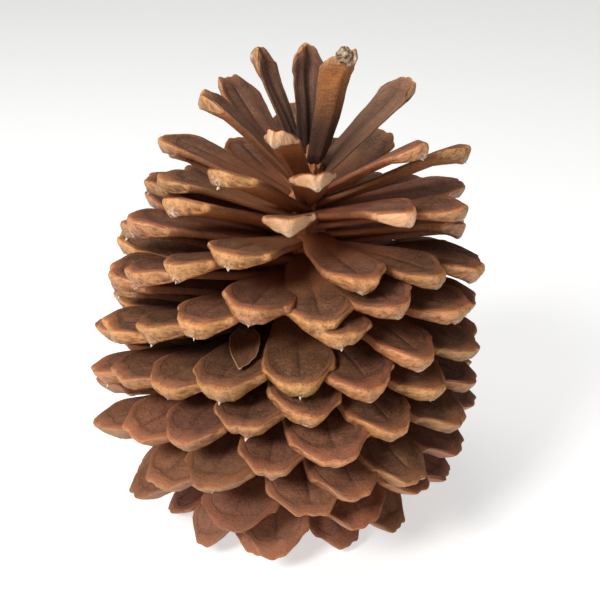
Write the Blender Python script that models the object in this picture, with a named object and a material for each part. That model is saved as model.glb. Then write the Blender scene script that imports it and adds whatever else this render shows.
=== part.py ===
"""An open, woody pine cone that stands upright on the tips of its lowest scales.

The cone grew as one piece. A tapering axis carries woody scales in pairs, each pair turned by half the
golden angle from the pair above it, from the crown that points at the sky down to the skirt that droops
to the ground. A scale is a plate that widens outwards to a swollen end, with a keel below and a small
prickle on it. One winged seed has slipped out of its place and lies on a scale at the front.

The frame is in metres with +Z up. The origin is on the ground below the middle of the cone, and the
front, where the seed lies, faces -Y.
"""

import math
import random

import bmesh
import bpy
import numpy as np
from mathutils import Matrix, Vector

# The spiral: how many levels of scales, how many scales on a level, how far each level turns from the one
# above it, where the top level stands, and a slight drift that the turn has at mid height
LEVEL_COUNT = 80
SCALES_ON_LEVEL = 2
LEVEL_TURN = math.radians(68.66)
FIRST_AZIMUTH = math.radians(37.8)
TURN_DRIFT = math.radians(6.6)

# The cone from its top scales (station 0) to its lowest ones (station 1): reach and height of the scales'
# tips, height of their roots on the axis, then the size and bend of the scales
STATIONS = (0.0, 0.06, 0.14, 0.25, 0.40, 0.55, 0.70, 0.85, 0.94, 1.0)
TIP_REACH = (0.0060, 0.0230, 0.0340, 0.0400, 0.0445, 0.0450, 0.0475, 0.0430, 0.0320, 0.0225)
TIP_HEIGHT = (0.1172, 0.1082, 0.0946, 0.0798, 0.0659, 0.0499, 0.0375, 0.0210, 0.0045, -0.0004)
ROOT_HEIGHT = (0.0895, 0.0860, 0.0805, 0.0730, 0.0625, 0.0515, 0.0415, 0.0315, 0.0250, 0.0210)
SCALE_WIDTH = (0.0094, 0.0108, 0.0126, 0.0140, 0.0155, 0.0163, 0.0167, 0.0165, 0.0150, 0.0128)
SCALE_DEPTH = (0.0030, 0.0032, 0.0035, 0.0039, 0.0043, 0.0046, 0.0046, 0.0045, 0.0038, 0.0032)
SCALE_BOW = (0.0000, 0.0003, 0.0006, 0.0010, 0.0014, 0.0018, 0.0020, 0.0024, 0.0022, 0.0016)
SCALE_CUP = (0.0012, 0.0008, 0.0004, 0.0001, -0.0001, -0.0002, -0.0003, -0.0004, -0.0004, -0.0004)

# The axis leans to +X and the rings of scales tilt with it. The lowest scales stand level all the same.
LEAN = math.radians(6.9)
RING_TILT = math.radians(8.5)
LEAN_PIVOT_HEIGHT = 0.057
LEVEL_FROM_STATION = 0.90

# What grew otherwise than the rule: scales near the top that stayed stubs, and scales that turned aside
# (degrees), grew short or long (share of the reach), sagged (metres) or grew narrow or wide (share of the
# width). Each is named by its level and place.
UNGROWN = {(1, 0), (1, 1), (2, 0), (2, 1), (3, 1), (4, 0), (5, 0), (5, 1), (6, 0), (7, 0), (9, 0), (9, 1)}
ODD_SCALES = {
    (0, 1): (0.0, 1.00, -0.002, 1.00),
    (3, 0): (0.0, 0.95, 0.001, 0.66),
    (4, 1): (-18.0, 1.08, 0.0015, 1.12),
    (6, 1): (0.0, 1.00, -0.0025, 1.00),
    (7, 1): (0.0, 1.00, 0.000, 0.74),
    (8, 0): (0.0, 1.00, 0.0025, 1.20),
    (8, 1): (0.0, 1.00, 0.0015, 1.00),
    (10, 0): (-8.0, 1.00, 0.000, 0.76),
    (11, 0): (0.0, 0.98, 0.0065, 1.00),
    (11, 1): (0.0, 1.03, -0.0035, 1.00),
    (12, 0): (0.0, 0.92, 0.000, 1.00),
    (13, 0): (0.0, 0.93, -0.004, 1.00),
    (13, 1): (0.0, 1.00, 0.000, 0.86),
    (14, 0): (0.0, 0.95, -0.004, 1.00),
    (15, 0): (0.0, 1.00, 0.000, 0.80),
    (16, 0): (0.0, 1.00, 0.005, 1.00),
    (18, 1): (0.0, 1.00, -0.006, 1.00),
    (19, 0): (0.0, 0.91, 0.000, 1.00),
    (19, 1): (0.0, 0.92, 0.0015, 1.00),
    (23, 1): (3.5, 1.00, -0.007, 1.00),
    (24, 0): (0.0, 0.95, 0.000, 1.00),
    (24, 1): (0.0, 1.00, 0.002, 1.00),
    (27, 0): (0.0, 1.00, 0.001, 1.00),
    (27, 1): (0.0, 0.955, 0.000, 1.00),
    (32, 0): (0.0, 0.92, 0.000, 1.00),
    (32, 1): (0.0, 0.97, 0.000, 1.00),
    (35, 0): (0.0, 1.00, 0.0015, 1.00),
    (36, 0): (6.0, 1.00, -0.004, 1.00),
    (40, 0): (0.0, 0.965, 0.0015, 1.00),
    (43, 1): (0.0, 1.00, 0.0015, 1.00),
    (48, 1): (0.0, 1.00, 0.002, 1.00),
    (51, 0): (0.0, 1.00, 0.002, 1.00),
    (53, 1): (0.0, 1.00, 0.002, 1.00),
    (55, 1): (0.0, 1.00, -0.005, 1.00),
    (56, 0): (0.0, 0.97, 0.002, 1.00),
    (59, 1): (0.0, 1.00, 0.0015, 1.00),
    (61, 0): (0.0, 1.00, 0.002, 1.00),
    (64, 1): (0.0, 1.04, 0.0025, 1.00),
    (65, 1): (6.0, 1.00, 0.000, 1.00),
    (69, 1): (0.0, 1.06, 0.0025, 1.00),
    (71, 1): (0.0, 1.04, -0.002, 1.00),
    (72, 0): (0.0, 1.12, 0.002, 1.00),
    (73, 0): (-9.0, 1.00, 0.000, 1.00),
    (74, 1): (0.0, 1.10, 0.000, 1.00),
    (76, 1): (4.0, 1.06, 0.000, 1.00),
}

# No two scales of a grown cone are alike
GROWTH_SEED = 7
LENGTH_SPREAD = 0.012
WIDTH_SPREAD = 0.05
LIFT_SPREAD = 0.0005
TWIST_SPREAD = math.radians(4.0)

# A scale's sections from root to lip, as shares of its length, width and depth
SECTION_PLACE = (0.07, 0.80, 0.93, 1.00)
SECTION_HALF_WIDTH = (0.22, 0.50, 0.46, 0.27)
SECTION_EDGE = (0.50, 0.43, 0.46, 0.30)
SECTION_KEEL = (0.76, 0.69, 1.00, 0.46)
KEEL_FORWARD = (0.00, 0.00, 0.025, -0.004)

# The weathered knob that ends the top scale at the front
KNOB_SCALE = (0, 0)
KNOB_RADIUS = 0.0022

# The axis that carries the scales, as height and radius from its foot, where it broke off, to its top
AXIS_PROFILE = (
    (0.0125, 0.0040),
    (0.0175, 0.0072),
    (0.0320, 0.0085),
    (0.0560, 0.0080),
    (0.0760, 0.0062),
    (0.0920, 0.0030),
)
AXIS_SIDES = 10

# The winged seed: the scale it lies on, where its wing's tip and its kernel lie there (share of the scale's
# length, distance across), and its own sizes. The wing narrows from the kernel to its tip, with one
# straight edge and one round one.
SEED_SCALE = (41, 0)
SEED_TIP = (0.87, 0.0032)
SEED_KERNEL = (0.455, -0.0034)
SEED_GAP = 0.0005
KERNEL_LENGTH = 0.0064
KERNEL_WIDTH = 0.0042
KERNEL_DEPTH = 0.0023
WING_THICKNESS = 0.0007
WING_PLACE = (0.0, 0.20, 0.45, 0.70, 0.88, 1.0)
WING_STRAIGHT_EDGE = (0.0016, 0.0032, 0.0031, 0.0021, 0.0010, 0.0002)
WING_ROUND_EDGE = (0.0016, 0.0036, 0.0038, 0.0034, 0.0020, 0.0003)

# The cone's bounding box has its middle on the origin
CENTRE_SHIFT = Vector((0.0024, 0.0004, 0.0))

# The ground, which wears a flat on the tips that reach it
GROUND_CUT_SIZE = 0.2

WOOD_BROWN = (0.20, 0.085, 0.035, 1.0)
SEED_BROWN = (0.27, 0.14, 0.07, 1.0)


def at_station(values, station):
    """The value at a station between the listed ones, in a straight line from one to the next."""
    return float(np.interp(station, STATIONS, values))


def leaned(point, station):
    """The point after the axis leans, tilted as much as the scales of its station follow the axis."""
    follows = min(1.0, (1.0 - station) / (1.0 - LEVEL_FROM_STATION))
    aside = (point.z - LEAN_PIVOT_HEIGHT) * math.sin(LEAN)
    drop = point.x * math.sin(RING_TILT) * follows
    return Vector((point.x + aside, point.y, point.z - drop)) + CENTRE_SHIFT


class Scale:
    """One scale: its root on the axis, its tip, and the directions along, across and out of its top face."""

    def __init__(self, level, place, growth):
        station = level / (LEVEL_COUNT - 1)
        turned, stretched, raised, widened = ODD_SCALES.get((level, place), (0.0, 1.0, 0.0, 1.0))
        azimuth = FIRST_AZIMUTH + level * LEVEL_TURN + place * math.tau / SCALES_ON_LEVEL
        azimuth += TURN_DRIFT * 4.0 * station * (1.0 - station) + math.radians(turned)
        outward = Vector((math.sin(azimuth), -math.cos(azimuth), 0.0))
        reach = at_station(TIP_REACH, station) * stretched * growth.gauss(1.0, LENGTH_SPREAD)
        height = at_station(TIP_HEIGHT, station) + raised + growth.gauss(0.0, LIFT_SPREAD)
        self.root = leaned(Vector((0.0, 0.0, at_station(ROOT_HEIGHT, station))), station)
        tip = leaned(outward * reach + Vector((0.0, 0.0, height)), station)
        self.length = (tip - self.root).length
        self.along = (tip - self.root).normalized()
        self.across = Vector((math.cos(azimuth), math.sin(azimuth), 0.0))
        self.across.rotate(Matrix.Rotation(growth.gauss(0.0, TWIST_SPREAD), 3, self.along))
        self.up = self.along.cross(self.across)
        self.width = at_station(SCALE_WIDTH, station) * widened * growth.gauss(1.0, WIDTH_SPREAD)
        self.depth = at_station(SCALE_DEPTH, station)
        self.bow = at_station(SCALE_BOW, station)
        self.cup = at_station(SCALE_CUP, station)

    def point(self, place, across, up):
        """The point at a share of the length, a distance across and a distance above the top face."""
        arch = self.bow * 4.0 * place * (1.0 - place)
        curl = self.cup * (2.0 * across / self.width) ** 2
        height = up + arch + curl
        return self.root + self.along * (self.length * place) + self.across * across + self.up * height


def mesh_object(name, points, faces):
    """An object with a closed mesh whose faces all point outwards."""
    mesh = bpy.data.meshes.new(name)
    mesh.from_pydata([tuple(point) for point in points], [], faces)
    shape = bmesh.new()
    shape.from_mesh(mesh)
    bmesh.ops.recalc_face_normals(shape, faces=shape.faces)
    bmesh.ops.triangulate(shape, faces=shape.faces)
    shape.to_mesh(mesh)
    shape.free()
    made = bpy.data.objects.new(name, mesh)
    bpy.context.scene.collection.objects.link(made)
    return made


def scale_object(name, scale):
    """A plate with six corners to a section, closed at the root and at the lip, with a keel below its end."""
    points = []
    for place, half, edge, keel, forward in zip(
        SECTION_PLACE, SECTION_HALF_WIDTH, SECTION_EDGE, SECTION_KEEL, KEEL_FORWARD
    ):
        half_width = half * scale.width
        points += [
            scale.point(place, -half_width, 0.0),
            scale.point(place, 0.0, 0.0),
            scale.point(place, half_width, 0.0),
            scale.point(place, half_width, -edge * scale.depth),
            scale.point(place + forward, 0.0, -keel * scale.depth),
            scale.point(place, -half_width, -edge * scale.depth),
        ]
    faces = [(0, 1, 4, 5), (1, 2, 3, 4)]
    last = 6 * (len(SECTION_PLACE) - 1)
    for start in range(0, last, 6):
        for corner in range(6):
            following = (corner + 1) % 6
            faces.append((start + corner, start + following, start + 6 + following, start + 6 + corner))
    faces += [(last, last + 1, last + 4, last + 5), (last + 1, last + 2, last + 3, last + 4)]
    return mesh_object(name, points, faces)


def axis_object(name):
    """The axis: a leaning turned profile with a few sides, closed at both ends."""
    foot, top = AXIS_PROFILE[0][0], AXIS_PROFILE[-1][0]
    points = [leaned(Vector((0.0, 0.0, foot)), 1.0), leaned(Vector((0.0, 0.0, top)), 1.0)]
    for height, radius in AXIS_PROFILE:
        for side in range(AXIS_SIDES):
            angle = math.tau * side / AXIS_SIDES
            points.append(leaned(Vector((radius * math.cos(angle), radius * math.sin(angle), height)), 1.0))
    faces = []
    for side in range(AXIS_SIDES):
        following = (side + 1) % AXIS_SIDES
        top = 2 + (len(AXIS_PROFILE) - 1) * AXIS_SIDES
        faces.append((0, 2 + following, 2 + side))
        faces.append((1, top + side, top + following))
        for ring in range(len(AXIS_PROFILE) - 1):
            low = 2 + ring * AXIS_SIDES
            high = low + AXIS_SIDES
            faces.append((low + side, low + following, high + following, high + side))
    return mesh_object(name, points, faces)


def applied(target):
    """Replaces the object's mesh by the one that its modifiers make, and removes them."""
    graph = bpy.context.evaluated_depsgraph_get()
    made = bpy.data.meshes.new_from_object(target.evaluated_get(graph))
    target.modifiers.clear()
    target.data = made


def fuse(target, others):
    """Joins the other objects to the target in one Boolean union, and removes them."""
    collection = bpy.data.collections.new("scales")
    bpy.context.scene.collection.children.link(collection)
    for other in others:
        bpy.context.scene.collection.objects.unlink(other)
        collection.objects.link(other)
    union = target.modifiers.new("fuse", "BOOLEAN")
    union.operation = "UNION"
    union.operand_type = "COLLECTION"
    union.collection = collection
    union.solver = "MANIFOLD"
    applied(target)
    for other in others:
        bpy.data.objects.remove(other)
    bpy.data.collections.remove(collection)


def cut_at_ground(target):
    """Takes off what would reach below the ground, which leaves a small flat on each tip it stands on."""
    half = GROUND_CUT_SIZE / 2
    corners = [(x, y, z) for z in (-GROUND_CUT_SIZE, 0.0) for y in (-half, half) for x in (-half, half)]
    sides = [(0, 1, 3, 2), (4, 6, 7, 5), (0, 4, 5, 1), (1, 5, 7, 3), (3, 7, 6, 2), (2, 6, 4, 0)]
    ground = mesh_object("ground", corners, sides)
    cut = target.modifiers.new("ground", "BOOLEAN")
    cut.operation = "DIFFERENCE"
    cut.object = ground
    cut.solver = "MANIFOLD"
    applied(target)
    bpy.data.objects.remove(ground)


def keep_outer_shell(target):
    """Fills the hollows that fusing sealed, by keeping only the largest connected surface."""
    shape = bmesh.new()
    shape.from_mesh(target.data)
    unseen = set(shape.verts)
    largest = []
    while unseen:
        start = unseen.pop()
        group, edge_of_group = [start], [start]
        while edge_of_group:
            for edge in edge_of_group.pop().link_edges:
                for vertex in edge.verts:
                    if vertex in unseen:
                        unseen.remove(vertex)
                        group.append(vertex)
                        edge_of_group.append(vertex)
        if len(group) > len(largest):
            largest = group
    kept = set(largest)
    bmesh.ops.delete(shape, geom=[vertex for vertex in shape.verts if vertex not in kept], context="VERTS")
    shape.to_mesh(target.data)
    shape.free()


def paint(target, name, colour, roughness):
    """Gives the object a plain material of its own."""
    material = bpy.data.materials.new(name)
    material.use_nodes = True
    surface = material.node_tree.nodes["Principled BSDF"]
    surface.inputs["Base Color"].default_value = colour
    surface.inputs["Roughness"].default_value = roughness
    surface.inputs["Metallic"].default_value = 0.0
    target.data.materials.clear()
    target.data.materials.append(material)


def knob_object(name, scale):
    """A weathered knob sunk into the end of a scale."""
    shape = bmesh.new()
    bmesh.ops.create_icosphere(shape, subdivisions=1, radius=KNOB_RADIUS)
    centre = scale.point(0.97, 0.0, -0.4 * scale.depth)
    points = [centre + vertex.co for vertex in shape.verts]
    faces = [tuple(vertex.index for vertex in face.verts) for face in shape.faces]
    shape.free()
    return mesh_object(name, points, faces)


def grown_scales():
    """Every scale that grew out, by its level and place."""
    growth = random.Random(GROWTH_SEED)
    scales = {}
    for level in range(LEVEL_COUNT):
        for place in range(SCALES_ON_LEVEL):
            scales[level, place] = Scale(level, place, growth)
    return {key: scale for key, scale in scales.items() if key not in UNGROWN}


def pine_cone(scales):
    """The axis with every scale fused to it, standing on the ground."""
    cone = axis_object("pine_cone")
    parts = [scale_object(f"scale_{number}", scale) for number, scale in enumerate(scales.values())]
    fuse(cone, parts + [knob_object("knob", scales[KNOB_SCALE])])
    cut_at_ground(cone)
    keep_outer_shell(cone)
    paint(cone, "cone_wood", WOOD_BROWN, 0.7)


def winged_seed(scale):
    """A kernel and its flat wing in one, lying on the top face of a scale a hair above it."""

    def face_point(place, across):
        corners = np.array([scale.point(share, across, 0.0) for share in SECTION_PLACE])
        return Vector([np.interp(place, SECTION_PLACE, corners[:, axis]) for axis in range(3)])

    tip = face_point(*SEED_TIP) + scale.up * SEED_GAP
    kernel = face_point(*SEED_KERNEL) + scale.up * (SEED_GAP + KERNEL_DEPTH / 2)
    length = (tip - kernel).length
    along = (tip - kernel).normalized()
    across = (scale.across - along * scale.across.dot(along)).normalized()
    up = along.cross(across)

    shape = bmesh.new()
    bmesh.ops.create_uvsphere(shape, u_segments=12, v_segments=8, radius=0.5)
    points = []
    for vertex in shape.verts:
        in_plane = along * (vertex.co.z * KERNEL_LENGTH) + across * (vertex.co.x * KERNEL_WIDTH)
        points.append(kernel + in_plane + up * (vertex.co.y * KERNEL_DEPTH))
    faces = [tuple(vertex.index for vertex in face.verts) for face in shape.faces]
    shape.free()
    seed = mesh_object("winged_seed", points, faces)

    points = []
    for place, straight, rounded in zip(WING_PLACE, WING_STRAIGHT_EDGE, WING_ROUND_EDGE):
        middle = kernel + along * (length * place)
        for side in (-straight, rounded):
            points += [middle + across * side, middle + across * side + up * WING_THICKNESS]
    faces = [(0, 1, 3, 2)]
    last = 4 * (len(WING_PLACE) - 1)
    for start in range(0, last, 4):
        for corner, following in ((0, 1), (1, 3), (3, 2), (2, 0)):
            faces.append((start + corner, start + following, start + 4 + following, start + 4 + corner))
    faces.append((last, last + 1, last + 3, last + 2))
    fuse(seed, [mesh_object("wing", points, faces)])
    paint(seed, "seed_wing_brown", SEED_BROWN, 0.6)


for existing in list(bpy.data.objects):
    bpy.data.objects.remove(existing)
grown = grown_scales()
pine_cone(grown)
winged_seed(grown[SEED_SCALE])
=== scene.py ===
"""The look of an open, woody pine cone that stands upright on the tips of its lowest scales.

The pieces replace the plain solids of the frame and keep their form: the scales in four belts from the
crown to the skirt, the prickles, the knob on the top scale, the axis, and the winged seed. Everything is in
metres with +Z up, and the front faces -Y.
"""

import math
import random

import bpy
import numpy as np
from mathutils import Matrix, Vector


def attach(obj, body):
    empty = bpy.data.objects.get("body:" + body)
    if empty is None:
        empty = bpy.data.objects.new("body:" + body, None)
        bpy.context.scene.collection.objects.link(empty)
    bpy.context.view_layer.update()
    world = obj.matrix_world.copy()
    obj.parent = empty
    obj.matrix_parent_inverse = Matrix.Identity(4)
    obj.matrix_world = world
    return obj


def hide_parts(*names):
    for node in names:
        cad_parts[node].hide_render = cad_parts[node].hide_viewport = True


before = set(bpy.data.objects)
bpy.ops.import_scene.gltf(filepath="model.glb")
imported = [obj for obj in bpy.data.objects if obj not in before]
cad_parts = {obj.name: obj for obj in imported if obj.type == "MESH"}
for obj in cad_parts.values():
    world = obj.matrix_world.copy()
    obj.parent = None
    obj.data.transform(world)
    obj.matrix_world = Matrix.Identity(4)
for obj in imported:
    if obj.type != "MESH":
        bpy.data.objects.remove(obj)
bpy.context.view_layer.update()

# The spiral of the cone
# The real cone is one growth: an axis with woody scales in pairs, each pair turned by half the golden angle
# from the pair above it. This rule, with its few exceptions and its seeded spread, is the solids' own, so
# that each fine scale lies in its plain one.

LEVEL_COUNT = 80
SCALES_ON_LEVEL = 2
LEVEL_TURN = math.radians(68.66)
FIRST_AZIMUTH = math.radians(37.8)
TURN_DRIFT = math.radians(6.6)
STATIONS = (0.0, 0.06, 0.14, 0.25, 0.40, 0.55, 0.70, 0.85, 0.94, 1.0)
TIP_REACH = (0.0060, 0.0230, 0.0340, 0.0400, 0.0445, 0.0450, 0.0475, 0.0430, 0.0320, 0.0225)
TIP_HEIGHT = (0.1172, 0.1082, 0.0946, 0.0798, 0.0659, 0.0499, 0.0375, 0.0210, 0.0045, -0.0004)
ROOT_HEIGHT = (0.0895, 0.0860, 0.0805, 0.0730, 0.0625, 0.0515, 0.0415, 0.0315, 0.0250, 0.0210)
SCALE_WIDTH = (0.0094, 0.0108, 0.0126, 0.0140, 0.0155, 0.0163, 0.0167, 0.0165, 0.0150, 0.0128)
SCALE_DEPTH = (0.0030, 0.0032, 0.0035, 0.0039, 0.0043, 0.0046, 0.0046, 0.0045, 0.0038, 0.0032)
SCALE_BOW = (0.0000, 0.0003, 0.0006, 0.0010, 0.0014, 0.0018, 0.0020, 0.0024, 0.0022, 0.0016)
SCALE_CUP = (0.0012, 0.0008, 0.0004, 0.0001, -0.0001, -0.0002, -0.0003, -0.0004, -0.0004, -0.0004)
LEAN = math.radians(6.9)
RING_TILT = math.radians(8.5)
LEAN_PIVOT_HEIGHT = 0.057
LEVEL_FROM_STATION = 0.90
CENTRE_SHIFT = np.array((0.0024, 0.0004, 0.0))
# Places of the spiral, as (level, place), where no scale grew out
UNGROWN = {(1, 0), (1, 1), (2, 0), (2, 1), (3, 1), (4, 0), (5, 0), (5, 1), (6, 0), (7, 0), (9, 0), (9, 1)}
# Each odd scale's turn in degrees, its share of the usual length, its lift, and its share of the usual width
ODD_SCALES = {
    (0, 1): (0.0, 1.00, -0.002, 1.00),
    (3, 0): (0.0, 0.95, 0.001, 0.66),
    (4, 1): (-18.0, 1.08, 0.0015, 1.12),
    (6, 1): (0.0, 1.00, -0.0025, 1.00),
    (7, 1): (0.0, 1.00, 0.000, 0.74),
    (8, 0): (0.0, 1.00, 0.0025, 1.20),
    (8, 1): (0.0, 1.00, 0.0015, 1.00),
    (10, 0): (-8.0, 1.00, 0.000, 0.76),
    (11, 0): (0.0, 0.98, 0.0065, 1.00),
    (11, 1): (0.0, 1.03, -0.0035, 1.00),
    (12, 0): (0.0, 0.92, 0.000, 1.00),
    (13, 0): (0.0, 0.93, -0.004, 1.00),
    (13, 1): (0.0, 1.00, 0.000, 0.86),
    (14, 0): (0.0, 0.95, -0.004, 1.00),
    (15, 0): (0.0, 1.00, 0.000, 0.80),
    (16, 0): (0.0, 1.00, 0.005, 1.00),
    (18, 1): (0.0, 1.00, -0.006, 1.00),
    (19, 0): (0.0, 0.91, 0.000, 1.00),
    (19, 1): (0.0, 0.92, 0.0015, 1.00),
    (23, 1): (3.5, 1.00, -0.007, 1.00),
    (24, 0): (0.0, 0.95, 0.000, 1.00),
    (24, 1): (0.0, 1.00, 0.002, 1.00),
    (27, 0): (0.0, 1.00, 0.001, 1.00),
    (27, 1): (0.0, 0.955, 0.000, 1.00),
    (32, 0): (0.0, 0.92, 0.000, 1.00),
    (32, 1): (0.0, 0.97, 0.000, 1.00),
    (35, 0): (0.0, 1.00, 0.0015, 1.00),
    (36, 0): (6.0, 1.00, -0.004, 1.00),
    (40, 0): (0.0, 0.965, 0.0015, 1.00),
    (43, 1): (0.0, 1.00, 0.0015, 1.00),
    (48, 1): (0.0, 1.00, 0.002, 1.00),
    (51, 0): (0.0, 1.00, 0.002, 1.00),
    (53, 1): (0.0, 1.00, 0.002, 1.00),
    (55, 1): (0.0, 1.00, -0.005, 1.00),
    (56, 0): (0.0, 0.97, 0.002, 1.00),
    (59, 1): (0.0, 1.00, 0.0015, 1.00),
    (61, 0): (0.0, 1.00, 0.002, 1.00),
    (64, 1): (0.0, 1.04, 0.0025, 1.00),
    (65, 1): (6.0, 1.00, 0.000, 1.00),
    (69, 1): (0.0, 1.06, 0.0025, 1.00),
    (71, 1): (0.0, 1.04, -0.002, 1.00),
    (72, 0): (0.0, 1.12, 0.002, 1.00),
    (73, 0): (-9.0, 1.00, 0.000, 1.00),
    (74, 1): (0.0, 1.10, 0.000, 1.00),
    (76, 1): (4.0, 1.06, 0.000, 1.00),
}
USUAL_SCALE = (0.0, 1.00, 0.000, 1.00)
GROWTH_SEED = 7
LENGTH_SPREAD = 0.012
WIDTH_SPREAD = 0.05
LIFT_SPREAD = 0.0005
TWIST_SPREAD = math.radians(4.0)


def leaned(points, station):
    """Points (..., 3) after the axis leans: x moves by height over the pivot, z drops with x by the tilt."""
    follows = np.minimum(1.0, (1.0 - station) / (1.0 - LEVEL_FROM_STATION))
    aside = (points[..., 2] - LEAN_PIVOT_HEIGHT) * math.sin(LEAN)
    drop = points[..., 0] * math.sin(RING_TILT) * follows
    return np.stack([points[..., 0] + aside, points[..., 1], points[..., 2] - drop], axis=-1) + CENTRE_SHIFT


def unit(vectors):
    """Vectors (..., 3) at length 1."""
    return vectors / np.linalg.norm(vectors, axis=-1, keepdims=True)


def spiral_scales():
    """Every place of the spiral as rows of arrays: its scale's root, directions and sizes, and if it grew."""
    growth = random.Random(GROWTH_SEED)
    keys = [(level, place) for level in range(LEVEL_COUNT) for place in range(SCALES_ON_LEVEL)]
    draws = np.array([[growth.gauss(0.0, 1.0) for _ in range(4)] for _ in keys])
    odd = np.array([ODD_SCALES.get(key, USUAL_SCALE) for key in keys])
    level, place = np.array(keys).T
    station = level / (LEVEL_COUNT - 1)
    azimuth = FIRST_AZIMUTH + level * LEVEL_TURN + place * math.tau / SCALES_ON_LEVEL
    azimuth += TURN_DRIFT * 4.0 * station * (1.0 - station) + np.radians(odd[:, 0])
    reach = np.interp(station, STATIONS, TIP_REACH) * odd[:, 1] * (1.0 + LENGTH_SPREAD * draws[:, 0])
    height = np.interp(station, STATIONS, TIP_HEIGHT) + odd[:, 2] + LIFT_SPREAD * draws[:, 1]
    zero = np.zeros_like(reach)
    root = leaned(np.stack([zero, zero, np.interp(station, STATIONS, ROOT_HEIGHT)], axis=-1), station)
    tip = leaned(np.stack([np.sin(azimuth) * reach, -np.cos(azimuth) * reach, height], axis=-1), station)
    along = unit(tip - root)
    level_across = np.stack([np.cos(azimuth), np.sin(azimuth), zero], axis=-1)
    twist = (TWIST_SPREAD * draws[:, 2])[:, None]
    lengthwise = along * np.sum(along * level_across, axis=-1, keepdims=True)
    turned = (level_across - lengthwise) * np.cos(twist) + np.cross(along, level_across) * np.sin(twist)
    across = turned + lengthwise
    return {
        "level": level,
        "place": place,
        "grown": np.array([key not in UNGROWN for key in keys]),
        "station": station,
        "root": root,
        "along": along,
        "across": across,
        "up": np.cross(along, across),
        "length": np.linalg.norm(tip - root, axis=-1),
        "width": np.interp(station, STATIONS, SCALE_WIDTH) * odd[:, 3] * (1.0 + WIDTH_SPREAD * draws[:, 3]),
        "depth": np.interp(station, STATIONS, SCALE_DEPTH),
        "bow": np.interp(station, STATIONS, SCALE_BOW),
        "cup": np.interp(station, STATIONS, SCALE_CUP),
    }


scales = spiral_scales()

# The scales
# Each is a woody plate that widens from its root to a swollen end, the apophysis, whose face is smooth and
# waxy. The top face is matte and wrinkled and keeps the print of two seed wings: a curved step near the lip
# and a groove down the middle. They grew from the axis, so their roots run into it.

SHAPE_SEED = 41
RING_PLACES = np.array(
    (0.06, 0.15, 0.24, 0.33, 0.42, 0.50, 0.57, 0.63, 0.68, 0.725, 0.765)
    + (0.80, 0.83, 0.858, 0.884, 0.908, 0.93, 0.95, 0.967, 0.981, 0.992, 1.0)
)
HALF_ROW = np.array((0.0, 0.05, 0.13, 0.25, 0.38, 0.51, 0.64, 0.76, 0.87, 0.955, 1.0))
ROW_ACROSS = np.concatenate([-HALF_ROW[:0:-1], HALF_ROW])
WALL_STEPS = np.array((0.08, 0.26, 0.47, 0.68, 0.88))
OUTLINE_PLACES = (0.0, 0.2, 0.4, 0.6, 0.8, 0.87, 0.94, 1.0)
OUTLINE_WEDGE = (0.19, 0.27, 0.345, 0.42, 0.49, 0.50, 0.475, 0.41)
OUTLINE_STRAP = (0.24, 0.34, 0.40, 0.42, 0.46, 0.49, 0.48, 0.43)
STRAPS_UP_TO = 0.16
ARCH_PLACES = (0.07, 0.80, 0.93, 1.00)
UNDERSIDE_PLACES = (0.0, 0.5, 0.8, 0.92, 1.0)
UNDERSIDE_KEEL = (0.74, 0.72, 0.70, 0.90, 1.00)
UNDERSIDE_EDGE = (0.50, 0.46, 0.45, 0.52, 0.54)
KEEL_ROUNDING = (1.5, 1.2)
UNDERSIDE_TAPER = 0.04
UNDERSIDE_RIBS = 0.00016
WALL_BULGE = 0.28
LIP_BLUNT = 0.115
LIP_POINT = (0.003, 0.026)
LIP_SKEW = 0.016
LIP_WAVES = (0.006, 0.004)
LIP_ROUNDING = 0.00042
LIP_ROUNDING_REACH = 0.0008
EDGE_ROUNDING_REACH = 0.0005
CORNER_FROM = 0.42
CORNER_POWER = 1.35
LOW_SCALES_FROM = 0.84
FACE_LEAN = (0.045, 0.050)
FACE_LEAN_STATIONS = (0.50, 0.80)
STEP_FROM_LIP = 0.0035
STEP_SHOULDER = 0.95
STEP_BEND = 0.30
STEP_WAVE = 0.008
STEP_HEIGHT = 0.00024
STEP_BLUR = 0.00042
GROOVE_DEPTH = 0.00034
GROOVE_WIDTH = 0.00075
GROOVE_PLACES = (0.45, 0.65)
WARP = 0.00055
CROWN_WARP = 0.0011
LOPSIDED = 0.06
RAGGED = 0.016
CROWN_RIBS = 0.00030
FACE_SWELL = 0.0008
FACE_LUMPS = 0.00014
UMBO_WIDTH = 0.0013
UMBO_HEIGHT = 0.0005
# The scale that the loose seed lies on, and those whose ends are bleached
SEED_BED = (41, 0)
PALE_SCALES = {(7, 1), (10, 0), (13, 1), (15, 0)}


def column(values):
    """Values with one number for each scale, shaped to spread over its (ring, point) grid."""
    return values[:, None, None]


def face_lean(station):
    """How far back the end's face leans, as a share of the length; it grows down the lower half."""
    first, last = FACE_LEAN_STATIONS
    return FACE_LEAN[0] + FACE_LEAN[1] * np.clip((station - first) / (last - first), 0.0, 1.0)


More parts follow.
